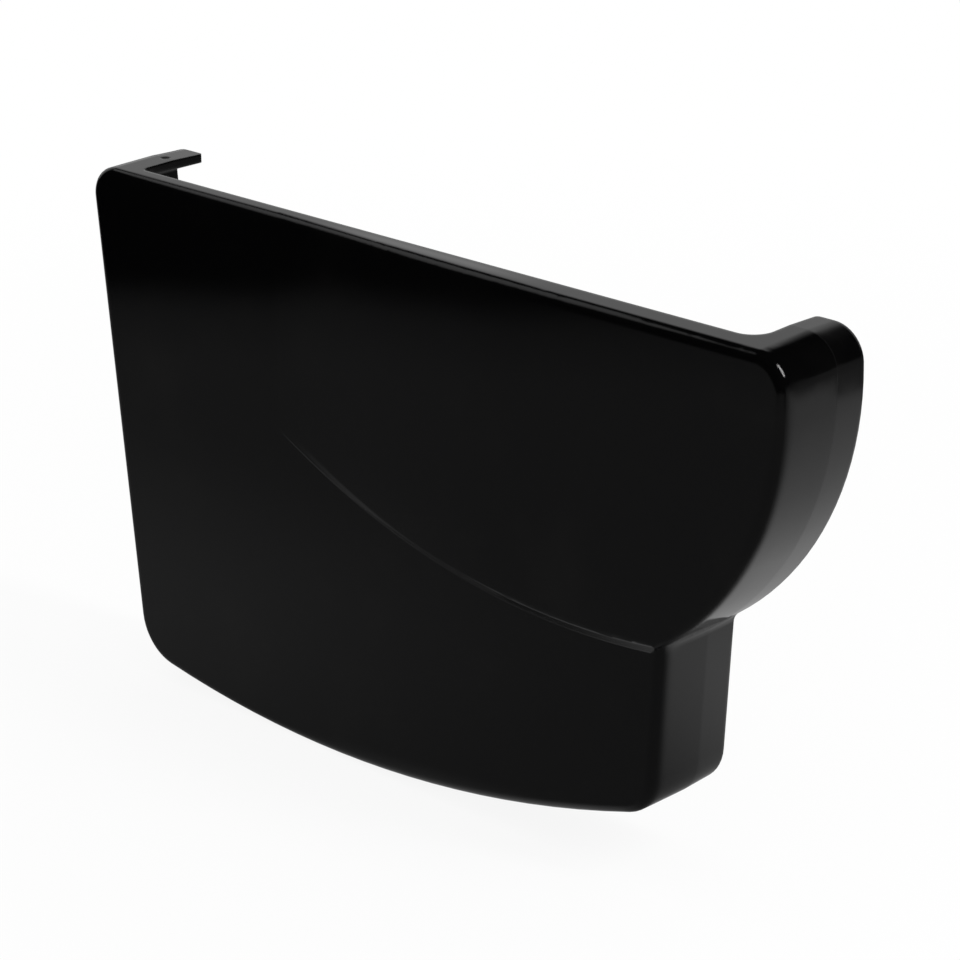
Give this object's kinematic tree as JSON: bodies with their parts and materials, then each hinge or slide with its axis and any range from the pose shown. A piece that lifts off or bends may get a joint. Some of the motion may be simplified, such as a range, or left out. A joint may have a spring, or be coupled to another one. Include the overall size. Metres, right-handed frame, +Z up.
{
  "type": "gutter end cap",
  "caption": "Moulded end cap for a square-to-round rain gutter: a flat end plate with a raised panel, and a shallow flange with two lips that takes the gutter's end.",
  "frame": {"origin": "middle of the stop face, the inner face of the end plate that the gutter's end meets", "axes": "+Z up, +Y along the gutter away from the cap, +X from the fascia board out to the rounded front"},
  "size_m": [0.149, 0.0184, 0.0922],
  "materials": {
    "cap_plastic": "moulded gloss"
  },
  "bodies": {
    "root": {"gutter_end_cap": "cap_plastic"}
  },
  "joints": []
}
